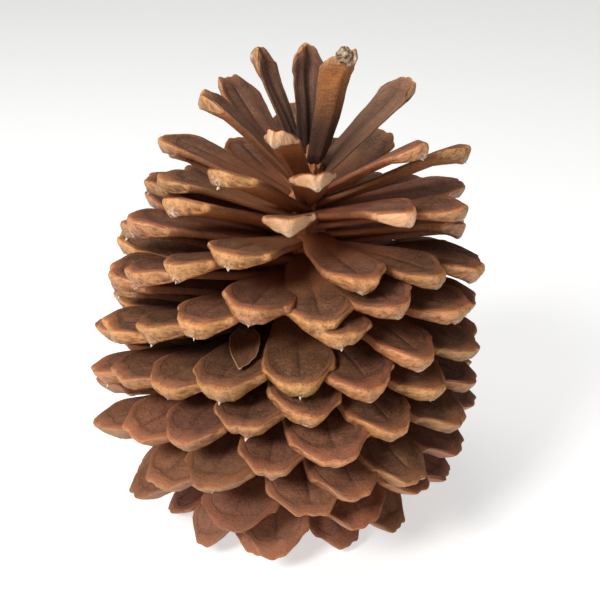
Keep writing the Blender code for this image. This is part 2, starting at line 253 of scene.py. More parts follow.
def scale_shells(chosen, seed):
    """The closed shells of the chosen scales, as points (scale, point, 3), marks and grain coordinates.

    A ring of points at place a of the length runs along the top row, down one edge wall, back along the
    underside and up the other wall. On the top row, a point at share c of the half width lies at
    p = a (1 - F(c) a^6), where F is the lip's fall from its middle to its shoulders: a slight point, then a
    rounded corner. Its height is the arch of the bow, plus cup (ac)^2, plus a warp of slow sines, less the
    step, the groove and the rounding of the lip, with ribs of sin(8c) along the crown's straps. The underside
    lies below by the depth times a blend of edge and keel, and leans back from the lip with a^4. The face of
    the swollen end spans the last ring and swells outwards by sin(pi t^0.7).
    """
    count = len(chosen["length"])
    shape = np.random.default_rng(seed)
    names = ("point", "skew", "lopsided", "wave", "phase", "tint", "step", "twist", "curl", "crisp", "swell")
    drawn = {name: column(shape.uniform(-1.0, 1.0, count)) for name in names}
    length, width, depth = column(chosen["length"]), column(chosen["width"]), column(chosen["depth"])
    bow, cup, station = column(chosen["bow"]), column(chosen["cup"]), column(chosen["station"])
    strap = np.clip(1.0 - station / STRAPS_UP_TO, 0.0, 1.0)
    low = np.clip((station - LOW_SCALES_FROM) / 0.1, 0.0, 1.0)
    bed = column((chosen["level"] == SEED_BED[0]) & (chosen["place"] == SEED_BED[1]))
    warp = np.where(bed, 0.0, WARP + (CROWN_WARP - WARP) * strap)
    pale = column(np.array([pair in PALE_SCALES for pair in zip(chosen["level"], chosen["place"])], float))
    phase = drawn["phase"] * math.pi
    a = RING_PLACES[None, :, None]
    c = ROW_ACROSS[None, None, :]

    wedge = np.interp(a, OUTLINE_PLACES, OUTLINE_WEDGE)
    outline = wedge + (np.interp(a, OUTLINE_PLACES, OUTLINE_STRAP) - wedge) * strap
    side_sign = np.sign(c)
    uneven = 1.0 + LOPSIDED * drawn["lopsided"] * side_sign * a
    ragged = np.sin(19.0 * a + phase + 2.0 * side_sign) + 0.7 * np.sin(43.0 * a - 2.0 * phase + side_sign)
    half_width = outline * width * uneven * (1.0 + RAGGED * (1.0 + strap) * a * ragged)

    pointed = LIP_POINT[0] + LIP_POINT[1] * (0.5 + 0.5 * drawn["point"] + 0.8 * low)
    corner = (np.maximum(0.0, np.abs(c) - CORNER_FROM) / (1.0 - CORNER_FROM)) ** CORNER_POWER
    lip_wave = LIP_WAVES[0] * np.sin(5.0 * c + phase) + LIP_WAVES[1] * np.sin(13.0 * c - phase)
    lip_fall = pointed * np.abs(c) ** 1.2 + (LIP_BLUNT - 0.5 * pointed) * corner
    lip_fall = lip_fall + LIP_SKEW * drawn["skew"] * c + lip_wave * (1.0 + 1.5 * strap)

    def plate_height(place, share):
        """The arch, the cup and the warp at places along the scale and shares of its half width."""
        chord = np.interp(place, ARCH_PLACES, 4.0 * np.array(ARCH_PLACES) * (1.0 - np.array(ARCH_PLACES)))
        arch = 0.35 * 4.0 * place * (1.0 - place) + 0.65 * chord
        slow = 0.7 * drawn["twist"] * share * place**2 + 0.5 * np.sin(6.0 * place + phase) * place
        curl = 1.3 * drawn["curl"] * np.maximum(0.0, place - 0.70) ** 2 / 0.09
        pucker = 0.35 * np.sin(4.2 * share + 2.0 * phase) * place**2
        return bow * arch + cup * (place * share) ** 2 + warp * (slow + curl + pucker)

    top_place = a * (1.0 - lip_fall * a**6)
    top_side = c * half_width
    bend = STEP_BEND * np.abs(c / STEP_SHOULDER) ** 7 + STEP_WAVE * np.cos(5.0 * c + phase)
    step_line = (1.0 - STEP_FROM_LIP * (1.0 + 0.25 * drawn["step"]) / length) * (1.0 - bend)
    from_step = (step_line - a) * length
    inside = 1.0 / (1.0 + np.exp(np.clip(-from_step / STEP_BLUR, -40.0, 40.0)))
    groove = np.exp(-((top_side / GROOVE_WIDTH) ** 2)) * np.interp(a, GROOVE_PLACES, (0.0, 1.0)) * inside
    from_lip = (1.0 - a) * length
    from_edge = (1.0 - np.abs(c)) * half_width
    rounded_edge = 0.5 * np.exp(-((from_edge / EDGE_ROUNDING_REACH) ** 2))
    rounded = np.exp(-((from_lip / LIP_ROUNDING_REACH) ** 2)) + rounded_edge
    top_height = plate_height(top_place, c) - STEP_HEIGHT * inside - GROOVE_DEPTH * groove
    top_height = top_height - LIP_ROUNDING * rounded
    lengthwise_ribs = np.sin(8.0 * c + 3.0 * phase + 0.8 * a) * (1.0 - c**2) * np.clip(a / 0.3, 0.0, 1.0)
    top_height = top_height + CROWN_RIBS * strap * (lengthwise_ribs - 1.0)

    under_place = a * (1.0 - lip_fall * a**6 - face_lean(station) * (1.0 - 0.6 * c**2) * a**4)
    under_side = top_side * (1.0 - UNDERSIDE_TAPER * a)
    keel = np.interp(a, UNDERSIDE_PLACES, UNDERSIDE_KEEL)
    edge = np.interp(a, UNDERSIDE_PLACES, UNDERSIDE_EDGE) * (1.0 - 0.4 * strap)
    round_end = KEEL_ROUNDING[0] + KEEL_ROUNDING[1] * np.clip((a - 0.80) / 0.15, 0.0, 1.0)
    thickness = edge + (keel - edge) * (1.0 - np.abs(c) ** round_end)
    thickness = thickness * depth * (1.0 + 0.08 * drawn["swell"])
    umbo_under = np.exp(-((under_side / UMBO_WIDTH) ** 2) - (from_lip / UMBO_WIDTH) ** 2)
    ribs = UNDERSIDE_RIBS * np.sin(8.0 * c + 2.0 * phase) * (1.0 - c**2)
    under_height = plate_height(under_place, c) - thickness - UMBO_HEIGHT * umbo_under + ribs

    grid = np.broadcast_shapes(top_place.shape, top_side.shape, top_height.shape)
    top = [np.broadcast_to(values, grid) for values in (top_place * length, top_side, top_height)]
    under = [np.broadcast_to(values, grid) for values in (under_place * length, under_side, under_height)]

    def wall(share_index, side):
        """The edge wall on one side, bulging outwards by sin(pi t) between the top and the underside."""
        t = WALL_STEPS[None, None, :]
        edges = [(high[:, :, share_index], low_end[:, :, share_index]) for high, low_end in zip(top, under)]
        ends = [(high[..., None], low_end[..., None]) for high, low_end in edges]
        blended = [high + (low_end - high) * t for high, low_end in ends]
        blended[1] = blended[1] + side * WALL_BULGE * (ends[2][0] - ends[2][1]) * np.sin(math.pi * t)
        return blended

    right, left = wall(-1, 1.0), wall(0, -1.0)
    rings = [
        np.concatenate([high, there, below[:, :, ::-1], back[:, :, ::-1]], axis=2)
        for high, there, below, back in zip(top, right, under, left)
    ]

    t = WALL_STEPS[None, :, None]
    inner = slice(1, -1)
    ends = [(high[:, -1:, inner], below[:, -1:, inner]) for high, below in zip(top, under)]
    face = [high + (below - high) * t for high, below in ends]
    swell = FACE_SWELL * (1.0 + 0.35 * drawn["swell"]) * (1.0 - 0.5 * c[..., inner] ** 2)
    swell = swell * np.sin(math.pi * t**0.7)
    lumps = FACE_LUMPS * np.sin(7.0 * c[..., inner] + phase) * np.sin(4.0 * t - phase)
    umbo_face = np.exp(-((face[1] / UMBO_WIDTH) ** 2) - ((1.0 - t) * depth / UMBO_WIDTH) ** 2)
    face[0] = face[0] + swell + lumps + UMBO_HEIGHT * 0.8 * umbo_face

    flat_rings = [values.reshape(count, -1) for values in rings]
    flat_face = [values.reshape(count, -1) for values in face]
    local = np.stack([np.concatenate(pair, axis=1) for pair in zip(flat_rings, flat_face)], axis=-1)
    points = (
        chosen["root"][:, None]
        + chosen["along"][:, None] * local[..., :1]
        + chosen["across"][:, None] * local[..., 1:2]
        + chosen["up"][:, None] * local[..., 2:]
    )
    points[..., 2] = np.maximum(points[..., 2], 0.0)

    def spread(on_top, on_wall, on_under, on_face):
        """One mark over the whole shell, from its values on the top, walls, underside and face."""
        walls = np.broadcast_to(on_wall, grid[:2] + (len(WALL_STEPS),))
        above, beneath = np.broadcast_to(on_top, grid), np.broadcast_to(on_under, grid)
        around = np.concatenate([above, walls, beneath[:, :, ::-1], walls[:, :, ::-1]], axis=2)
        around = around.reshape(count, -1)
        front = np.broadcast_to(on_face, (count, len(WALL_STEPS), grid[2] - 2)).reshape(count, -1)
        return np.concatenate([around, front], axis=1)

    wall_mm = -1e3 * edge * depth * WALL_STEPS
    on_walls = np.clip((a - 0.90) / 0.06, 0.0, 1.0) * (1.0 - 0.6 * strap)
    near_lip = np.clip(1.0 - from_lip / 0.0011, 0.0, 1.0)
    marks = {
        "upper": spread(1.0, np.clip(1.0 - 0.8 * WALL_STEPS, 0.0, 1.0), 0.0, 0.0),
        "face": spread(0.0, on_walls, near_lip, 1.0),
        "rim_mm": spread(1e3 * np.minimum(from_lip, from_edge), wall_mm, -3.0, -1e3 * depth * t),
        "step_mm": spread(1e3 * from_step, -5.0, -5.0, -5.0),
        "middle_mm": spread(1e3 * np.abs(top_side), 9.0, 9.0, 9.0),
        "umbo": spread(0.0, 0.0, umbo_under, umbo_face),
        "below": spread(0.0, WALL_STEPS * 0.6, 1.0, t),
        "place": spread(a, a, a, 1.0),
        "tint": spread(*[drawn["tint"]] * 4),
        "crisp": spread(*[drawn["crisp"]] * 4),
        "station": spread(*[station] * 4),
        "pale": spread(*[pale] * 4),
    }
    own_wood = shape.uniform(0.0, 1.0, (count, 1, 3))
    lengthwise = spread(a * length, a * length, a * length, length)
    grain = np.stack([local[..., 1], lengthwise, local[..., 2]], axis=-1) + own_wood
    return points, marks, grain


def tube_faces(rings, sides):
    """Quads round a tube of numbered rings, with the numbers of its first and its last ring."""
    number = np.arange(rings * sides).reshape(rings, sides)
    following = np.roll(number, -1, axis=1)
    quads = np.stack([number[:-1], number[1:], following[1:], following[:-1]], axis=-1).reshape(-1, 4)
    return quads, number[0], number[-1]


def shell_faces():
    """Quads of the tube of rings and of the end face, and the polygon that closes the root, for one shell."""
    across = len(ROW_ACROSS)
    steps = len(WALL_STEPS)
    ring = 2 * across + 2 * steps
    rings = len(RING_PLACES)
    tube, root, last = tube_faces(rings, ring)
    top = last[:across]
    right = last[across : across + steps]
    under = last[across + steps : 2 * across + steps][::-1]
    left = last[2 * across + steps :][::-1]
    inner = rings * ring + np.arange(steps * (across - 2)).reshape(steps, across - 2)
    middle = np.concatenate([left[:, None], inner, right[:, None]], axis=1)
    patch = np.concatenate([top[None], middle, under[None]], axis=0)
    face = np.stack([patch[:-1, :-1], patch[1:, :-1], patch[1:, 1:], patch[:-1, 1:]], axis=-1).reshape(-1, 4)
    return np.concatenate([tube, face]), root


def mesh_piece(name, points, quads, polygons=(), marks=None, grain=None):
    """An object from points (n, 3), quads (m, 4), further polygons, and marks and grain for each point."""
    corners = np.concatenate([np.asarray(quads).reshape(-1)] + [np.asarray(polygon) for polygon in polygons])
    sizes = np.concatenate([np.full(len(quads), 4), [len(polygon) for polygon in polygons]]).astype(np.int32)
    mesh = bpy.data.meshes.new(name)
    mesh.vertices.add(len(points))
    mesh.vertices.foreach_set("co", np.asarray(points, np.float32).reshape(-1))
    mesh.loops.add(len(corners))
    mesh.loops.foreach_set("vertex_index", corners.astype(np.int32))
    mesh.polygons.add(len(sizes))
    mesh.polygons.foreach_set("loop_start", np.concatenate([[0], np.cumsum(sizes)[:-1]]).astype(np.int32))
    mesh.polygons.foreach_set("use_smooth", np.ones(len(sizes), bool))
    mesh.update(calc_edges=True)
    for mark, values in (marks or {}).items():
        layer = mesh.attributes.new(mark, "FLOAT", "POINT")
        layer.data.foreach_set("value", np.asarray(values, np.float32).reshape(-1))
    if grain is not None:
        layer = mesh.attributes.new("grain", "FLOAT_VECTOR", "POINT")
        layer.data.foreach_set("vector", np.asarray(grain, np.float32).reshape(-1))
    mesh.validate()
    piece = bpy.data.objects.new(name, mesh)
    bpy.context.scene.collection.objects.link(piece)
    return piece


def linear(hex_colour):
    """An sRGB colour such as #8a5848 as linear red, green, blue and alpha."""
    shares = [int(hex_colour[start : start + 2], 16) / 255.0 for start in (1, 3, 5)]
    return tuple(s / 12.92 if s <= 0.04045 else ((s + 0.055) / 1.055) ** 2.4 for s in shares) + (1.0,)


def start_material(name):
    """A new material with its node tree and its shader."""
    material = bpy.data.materials.new(name)
    material.use_nodes = True
    return material, material.node_tree, material.node_tree.nodes["Principled BSDF"]


def add(tree, kind, output, inputs, **settings):
    """Adds a node with its settings and its inputs, which are values or sockets, and gives one output."""
    node = tree.nodes.new(kind)
    for name, value in settings.items():
        setattr(node, name, value)
    for name, value in inputs.items():
        if isinstance(value, bpy.types.NodeSocket):
            tree.links.new(value, node.inputs[name])
        else:
            node.inputs[name].default_value = value
    return node.outputs[output]


# Cone wood, dried and weathered. The top face is matte, dark reddish brown and finely wrinkled, the band
# outside the step is smoother and more orange, the lip is a bright tan, partly rubbed and partly a painted
# highlight on its rounded edge, the face of the swollen end is golden and waxy, and the underside is orange
# brown with long fibres.
TOP_DARK = "#42281a"
TOP_LIGHT = "#88593a"
TOP_RED = "#966145"
TOP_BAND = "#935732"
TOP_CROWN = "#a27862"
# Painted shade just behind the step and in the groove
CREASE_SHADE_DARK = "#382114"
# The lip's bright tan: partly rubbed wood, partly a painted highlight on its rounded edge
LIP_TAN_AND_HIGHLIGHT = "#c07a46"
FACE_GOLD = "#bb8450"
# The face's darker brown, for its mottles and for the painted shade towards its lower edge
FACE_SHADE = "#74472a"
FACE_CREAM = "#e2b184"
FACE_LOW = "#85593f"
UNDER_DARK = "#7b4523"
UNDER_LIGHT = "#b06b36"
RESIN_PALE = "#cfc0aa"
# Painted shade towards the scales' roots: dark brown, and a lighter red at the neck
ROOT_SHADE_BROWN = "#30211a"
NECK_SHADE_RED = "#aa653c"
# Each pattern's width across the fibres and length along them, in millimetres, and its detail
WOOD_PATTERNS_MM = {
    "fibres": (0.35, 2.6, 3.0),
    "wrinkles": (1.6, 0.42, 3.0),
    "grit": (0.45, 0.30, 3.0),
    "mottle": (0.9, 1.1, 3.0),
    "patches": (3.0, 4.5, 3.0),
    "flecks": (0.45, 0.45, 2.0),
}
# The neck, where light reaches the depths, so that their painted shade is a lighter red there
NECK_STATION = 0.27
WOOD_MARKS = "upper face rim_mm step_mm middle_mm umbo below place tint crisp station pale".split()

wood, tree, surface = start_material("weathered_cone_wood")
own = add(tree, "ShaderNodeAttribute", "Vector", {}, attribute_name="grain")
at = {name: add(tree, "ShaderNodeAttribute", "Fac", {}, attribute_name=name) for name in WOOD_MARKS}
drawn = {}
for pattern, (across_mm, along_mm, detail) in WOOD_PATTERNS_MM.items():
    fitted = {"Vector": own, "Scale": (1000 / across_mm, 1000 / along_mm, 1000 / across_mm)}
    where = add(tree, "ShaderNodeMapping", 0, fitted)
    noise = {"Vector": where, "Scale": 1.0, "Detail": detail, "Roughness": 0.6}
    drawn[pattern] = add(tree, "ShaderNodeTexNoise", 0, noise)


def ramp(value, low, high, to_low=0.0, to_high=1.0):
    """The inputs that bring a value smoothly from one range to another."""
    return {"Value": value, "From Min": low, "From Max": high, "To Min": to_low, "To Max": to_high}


# Settings of the nodes that range, multiply, multiply and add, and blend two colours
smooth = {"interpolation_type": "SMOOTHSTEP"}
times = {"operation": "MULTIPLY"}
plus = {"operation": "MULTIPLY_ADD"}
blend = {"data_type": "RGBA"}

# Top face: grit, short fibres and cross wrinkles over slow patches, redder low down and greyer at the crown
share = add(tree, "ShaderNodeMath", 0, {0: drawn["patches"], 1: 0.40, 2: 0.0}, **plus)
share = add(tree, "ShaderNodeMath", 0, {0: drawn["fibres"], 1: 0.20, 2: share}, **plus)
share = add(tree, "ShaderNodeMath", 0, {0: drawn["wrinkles"], 1: 0.45, 2: share}, **plus)
share = add(tree, "ShaderNodeMath", 0, {0: drawn["grit"], 1: 0.75, 2: share}, **plus)
share = add(tree, "ShaderNodeMapRange", 0, ramp(share, 0.70, 1.14), **smooth)
top = add(tree, "ShaderNodeMix", 2, {0: share, 6: linear(TOP_DARK), 7: linear(TOP_LIGHT)}, **blend)
redness = add(tree, "ShaderNodeMapRange", 0, ramp(at["station"], 0.55, 0.90, 0.0, 0.80), **smooth)
evened = add(tree, "ShaderNodeMath", 0, {0: share, 1: 0.58, 2: 0.42}, **plus)
redness = add(tree, "ShaderNodeMath", 0, {0: redness, 1: evened}, **times)
top = add(tree, "ShaderNodeMix", 2, {0: redness, 6: top, 7: linear(TOP_RED)}, **blend)
crown = add(tree, "ShaderNodeMapRange", 0, ramp(at["station"], 0.15, 0.05, 0.0, 0.28), **smooth)
top = add(tree, "ShaderNodeMix", 2, {0: crown, 6: top, 7: linear(TOP_CROWN)}, **blend)

# The band that rolls over to the lip
# Towards the lip; it places both the orange band and the lip's painted highlight
lipward = add(tree, "ShaderNodeMapRange", 0, ramp(at["place"], 0.66, 0.96), **smooth)
band = add(tree, "ShaderNodeMapRange", 0, ramp(at["step_mm"], 0.4, -3.2, 0.0, 0.75), **smooth)
band = add(tree, "ShaderNodeMath", 0, {0: band, 1: lipward}, **times)
below_crown = add(tree, "ShaderNodeMapRange", 0, ramp(at["station"], 0.02, 0.16, 0.3, 1.0), **smooth)
band = add(tree, "ShaderNodeMath", 0, {0: band, 1: below_crown}, **times)
patchy = add(tree, "ShaderNodeMapRange", 0, ramp(drawn["patches"], 0.35, 0.60, 0.40, 1.0), **smooth)
band = add(tree, "ShaderNodeMath", 0, {0: band, 1: patchy}, **times)
top = add(tree, "ShaderNodeMix", 2, {0: band, 6: top, 7: linear(TOP_BAND)}, **blend)

# Painted shade: dark lines just behind the step and down the groove, where shade falls,
# crisper on some scales than on others
wandering = add(tree, "ShaderNodeMath", 0, {0: drawn["mottle"], 1: 0.9, 2: at["step_mm"]}, **plus)
outer = add(tree, "ShaderNodeMapRange", 0, ramp(wandering, 0.0, 0.6), **smooth)
line = add(tree, "ShaderNodeMapRange", 0, ramp(wandering, 2.4, 0.6), **smooth)
line = add(tree, "ShaderNodeMath", 0, {0: line, 1: outer}, **times)
patchy = add(tree, "ShaderNodeMapRange", 0, ramp(drawn["patches"], 0.38, 0.60, 0.25, 1.0), **smooth)
line = add(tree, "ShaderNodeMath", 0, {0: line, 1: patchy}, **times)
aside = add(tree, "ShaderNodeMath", 0, {0: drawn["mottle"], 1: 0.6, 2: at["middle_mm"]}, **plus)
groove = add(tree, "ShaderNodeMapRange", 0, ramp(aside, 0.95, 0.25), **smooth)
front_end = add(tree, "ShaderNodeMapRange", 0, ramp(at["step_mm"], 0.0, 0.8), **smooth)
groove = add(tree, "ShaderNodeMath", 0, {0: groove, 1: front_end}, **times)
back_end = add(tree, "ShaderNodeMapRange", 0, ramp(at["step_mm"], 13.0, 6.0), **smooth)
groove = add(tree, "ShaderNodeMath", 0, {0: groove, 1: back_end}, **times)
crisp = add(tree, "ShaderNodeMapRange", 0, ramp(at["crisp"], -1.0, 1.0, 0.10, 0.36), **smooth)
lines = add(tree, "ShaderNodeMath", 0, {0: line, 1: groove}, operation="MAXIMUM")
crease_shade = add(tree, "ShaderNodeMath", 0, {0: lines, 1: crisp}, **times)
top = add(tree, "ShaderNodeMix", 2, {0: crease_shade, 6: top, 7: linear(CREASE_SHADE_DARK)}, **blend)

# Underside, with faint bars across its fibres
share = add(tree, "ShaderNodeMath", 0, {0: drawn["patches"], 1: 0.5, 2: drawn["wrinkles"]}, **plus)
share = add(tree, "ShaderNodeMath", 0, {0: drawn["fibres"], 1: 0.4, 2: share}, **plus)
share = add(tree, "ShaderNodeMapRange", 0, ramp(share, 0.65, 1.20), **smooth)
under = add(tree, "ShaderNodeMix", 2, {0: share, 6: linear(UNDER_DARK), 7: linear(UNDER_LIGHT)}, **blend)
colour = add(tree, "ShaderNodeMix", 2, {0: at["upper"], 6: under, 7: top}, **blend)

# Face of the swollen end: gold with dull mottles, darker towards its lower edge as painted shade, and
# bleached to cream on four scales
# The lower the place on the face, the darker: painted shade where the face turns under
share = add(tree, "ShaderNodeMath", 0, {0: at["below"], 1: 0.30, 2: -0.03}, **plus)
share = add(tree, "ShaderNodeMath", 0, {0: drawn["mottle"], 1: 1.10, 2: share}, **plus)
share = add(tree, "ShaderNodeMath", 0, {0: drawn["grit"], 1: 0.60, 2: share}, **plus)
share = add(tree, "ShaderNodeMapRange", 0, ramp(share, 0.75, 1.32), **smooth)
face = add(tree, "ShaderNodeMix", 2, {0: share, 6: linear(FACE_GOLD), 7: linear(FACE_SHADE)}, **blend)
cream = add(tree, "ShaderNodeMath", 0, {0: at["pale"], 1: 0.66}, **times)
face = add(tree, "ShaderNodeMix", 2, {0: cream, 6: face, 7: linear(FACE_CREAM)}, **blend)
dull = add(tree, "ShaderNodeMapRange", 0, ramp(at["station"], 0.55, 0.90, 0.0, 0.80), **smooth)
face = add(tree, "ShaderNodeMix", 2, {0: dull, 6: face, 7: linear(FACE_LOW)}, **blend)
colour = add(tree, "ShaderNodeMix", 2, {0: at["face"], 6: colour, 7: face}, **blend)

# The lip's bright tan, partly rubbed wood and partly a painted highlight on its rounded edge, resin on the
# umbo, and painted shade that darkens each scale towards its root
lip_wear_and_highlight = add(tree, "ShaderNodeMapRange", 0, ramp(at["rim_mm"], 0.60, 0.05), **smooth)
above_face = add(tree, "ShaderNodeMapRange", 0, ramp(at["rim_mm"], -0.8, -0.1), **smooth)
lip_wear_and_highlight = add(tree, "ShaderNodeMath", 0, {0: lip_wear_and_highlight, 1: above_face}, **times)
lip_wear_and_highlight = add(tree, "ShaderNodeMath", 0, {0: lip_wear_and_highlight, 1: lipward}, **times)
flecked = add(tree, "ShaderNodeMapRange", 0, ramp(drawn["flecks"], 0.35, 0.60, 0.25, 0.90), **smooth)
lip_wear_and_highlight = add(tree, "ShaderNodeMath", 0, {0: lip_wear_and_highlight, 1: flecked}, **times)
bright = add(tree, "ShaderNodeMath", 0, {0: dull, 1: -0.6, 2: 1.0}, **plus)
lip_wear_and_highlight = add(tree, "ShaderNodeMath", 0, {0: lip_wear_and_highlight, 1: bright}, **times)
lip_wear_and_highlight = add(tree, "ShaderNodeMath", 0, {0: lip_wear_and_highlight, 1: below_crown}, **times)
colour = add(tree, "ShaderNodeMix", 2, {0: lip_wear_and_highlight, 6: colour, 7: linear(LIP_TAN_AND_HIGHLIGHT)}, **blend)
resin = add(tree, "ShaderNodeMapRange", 0, ramp(drawn["flecks"], 0.47, 0.56), **smooth)
resin = add(tree, "ShaderNodeMath", 0, {0: resin, 1: at["umbo"]}, **times)
colour = add(tree, "ShaderNodeMix", 2, {0: resin, 6: colour, 7: linear(RESIN_PALE)}, **blend)
# Painted shade: each scale darkens towards its root, where the scales above shade it, least at the neck
root_shade = add(tree, "ShaderNodeMapRange", 0, ramp(at["place"], 0.25, 0.85, 0.66, 0.0), **smooth)
off_neck = add(tree, "ShaderNodeMath", 0, {0: at["station"], 1: NECK_STATION}, operation="SUBTRACT")
off_neck = add(tree, "ShaderNodeMath", 0, {0: off_neck}, operation="ABSOLUTE")
off_neck = add(tree, "ShaderNodeMapRange", 0, ramp(off_neck, 0.10, 0.26), **smooth)
deeper = add(tree, "ShaderNodeMapRange", 0, ramp(off_neck, 0.0, 1.0, 1.0, 1.32), **smooth)
root_shade = add(tree, "ShaderNodeMath", 0, {0: root_shade, 1: deeper}, **times)
root_shade_colour = add(tree, "ShaderNodeMix", 2, {0: off_neck, 6: linear(NECK_SHADE_RED), 7: linear(ROOT_SHADE_BROWN)}, **blend)
colour = add(tree, "ShaderNodeMix", 2, {0: root_shade, 6: colour, 7: root_shade_colour}, **blend)

# Each scale's own hue and brightness
hue = add(tree, "ShaderNodeMath", 0, {0: at["tint"], 1: 0.006, 2: 0.5}, **plus)
brightness = add(tree, "ShaderNodeMath", 0, {0: at["crisp"], 1: 0.16, 2: 1.0}, **plus)
tinted = add(tree, "ShaderNodeHueSaturation", 0, {"Hue": hue, "Value": brightness, "Color": colour})
tree.links.new(tinted, surface.inputs["Base Color"])

# The face is glossier than the rest, and the wood's patterns stand in low relief
gloss = add(tree, "ShaderNodeMath", 0, {0: at["face"], 1: -0.22, 2: 0.68}, **plus)
tree.links.new(gloss, surface.inputs["Roughness"])
relief = add(tree, "ShaderNodeMath", 0, {0: drawn["fibres"], 1: 0.5, 2: drawn["grit"]}, **plus)
rolls = add(tree, "ShaderNodeMath", 0, {0: drawn["wrinkles"], 1: band}, **times)
relief = add(tree, "ShaderNodeMath", 0, {0: rolls, 1: 1.5, 2: relief}, **plus)
relief = add(tree, "ShaderNodeMath", 0, {0: lines, 1: -0.6, 2: relief}, **plus)
pits = add(tree, "ShaderNodeMath", 0, {0: drawn["mottle"], 1: at["face"]}, **times)
relief = add(tree, "ShaderNodeMath", 0, {0: pits, 1: 2.2, 2: relief}, **plus)
bumped = add(tree, "ShaderNodeBump", 0, {"Height": relief, "Strength": 1.0, "Distance": 0.00020})
tree.links.new(bumped, surface.inputs["Normal"])

# The levels that each belt takes from the crown down
BELTS = {
    "crown_scales": (0, 20),
    "upper_scales": (20, 40),
    "middle_scales": (40, 60),
    "lower_scales": (60, 80),
}
quads, root_ring = shell_faces()
for number, (name, (first, end)) in enumerate(BELTS.items()):
    chosen = scales["grown"] & (scales["level"] >= first) & (scales["level"] < end)
    rows = {key: values[chosen] for key, values in scales.items()}
    points, marks, grain = scale_shells(rows, SHAPE_SEED + number)
    count, size = points.shape[:2]
    starts = np.arange(count)[:, None, None] * size
    piece = mesh_piece(
        name,
        points.reshape(-1, 3),
        (quads[None] + starts).reshape(-1, 4),
        list(root_ring + starts[:, 0]),
        marks,
        grain.reshape(-1, 3),
    )
    piece.data.materials.append(wood)
    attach(piece, "root")
    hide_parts("pine_cone")

# The axis
# The woody column that carries the scales, seen only where they part. It is fibrous and reddish, lumpy where
# scales leave it, and ends below in the scar where it broke off its twig.

AXIS_HEIGHTS = (0.0125, 0.0175, 0.0320, 0.0560, 0.0760, 0.0920, 0.0950)
AXIS_RADII = (0.0038, 0.0071, 0.0084, 0.0079, 0.0061, 0.0028, 0.0012)
AXIS_RINGS = 110
AXIS_SIDES = 60
AXIS_LUMPS = 0.0009
AXIS_GIRTH = 0.008

heights = np.linspace(AXIS_HEIGHTS[0], AXIS_HEIGHTS[-1], AXIS_RINGS)[:, None]
angles = np.linspace(0.0, math.tau, AXIS_SIDES, endpoint=False)[None, :]


def axis_points():
    """Rings whose radius follows the profile, with lumps where two sets of slanting waves cross."""
    lumps = np.sin(5.0 * angles + heights * 900.0) * np.sin(8.0 * angles - heights * 600.0)
    radius = np.interp(heights, AXIS_HEIGHTS, AXIS_RADII) - AXIS_LUMPS + AXIS_LUMPS * lumps
    ring = [radius * np.cos(angles), radius * np.sin(angles), heights + 0.0 * angles]
    return leaned(np.stack(ring, axis=-1), np.array(1.0))


quads, foot, neck = tube_faces(AXIS_RINGS, AXIS_SIDES)
rounds = [AXIS_GIRTH * wave(angles) + 0.0 * heights for wave in (np.cos, np.sin)]
grain = np.stack([rounds[0], heights + 0.0 * angles, rounds[1]], axis=-1)
axis = mesh_piece(
    "cone_axis",
    axis_points().reshape(-1, 3),
    quads[:, [0, 3, 2, 1]],
    [foot[::-1], neck],
    None,
    grain.reshape(-1, 3),
)

# Soft axis wood, torn into fibres where the scales spread. It gives the gaps their reddish depth.
AXIS_DARK = "#8a5130"
AXIS_LIGHT = "#d08850"
AXIS_FIBRES_MM = (0.4, 4.0)
axis_wood, tree, surface = start_material("fibrous_axis_wood")
own = add(tree, "ShaderNodeAttribute", "Vector", {}, attribute_name="grain")
across_mm, along_mm = AXIS_FIBRES_MM
fitted = {"Vector": own, "Scale": (1000 / across_mm, 1000 / along_mm, 1000 / across_mm)}
noise = {"Vector": add(tree, "ShaderNodeMapping", 0, fitted), "Scale": 1.0, "Detail": 4.0, "Roughness": 0.65}
fibres = add(tree, "ShaderNodeTexNoise", 0, noise)
share = add(tree, "ShaderNodeMapRange", 0, ramp(fibres, 0.35, 0.65), **smooth)
colour = add(tree, "ShaderNodeMix", 2, {0: share, 6: linear(AXIS_DARK), 7: linear(AXIS_LIGHT)}, **blend)
tree.links.new(colour, surface.inputs["Base Color"])
surface.inputs["Roughness"].default_value = 0.8
bumped = add(tree, "ShaderNodeBump", 0, {"Height": fibres, "Strength": 1.0, "Distance": 0.0005})
tree.links.new(bumped, surface.inputs["Normal"])
axis.data.materials.append(axis_wood)
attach(axis, "root")
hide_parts("pine_cone")

# The prickles
# A short horny point stands on each scale's swollen end and bends down a little. It grew with the scale, and
# weather has bleached it and broken many off.

PRICKLE_LENGTH = 0.0015
PRICKLE_RADIUS = 0.00055
PRICKLE_RINGS = 5
PRICKLE_SIDES = 7
PRICKLE_PLACE = 0.997


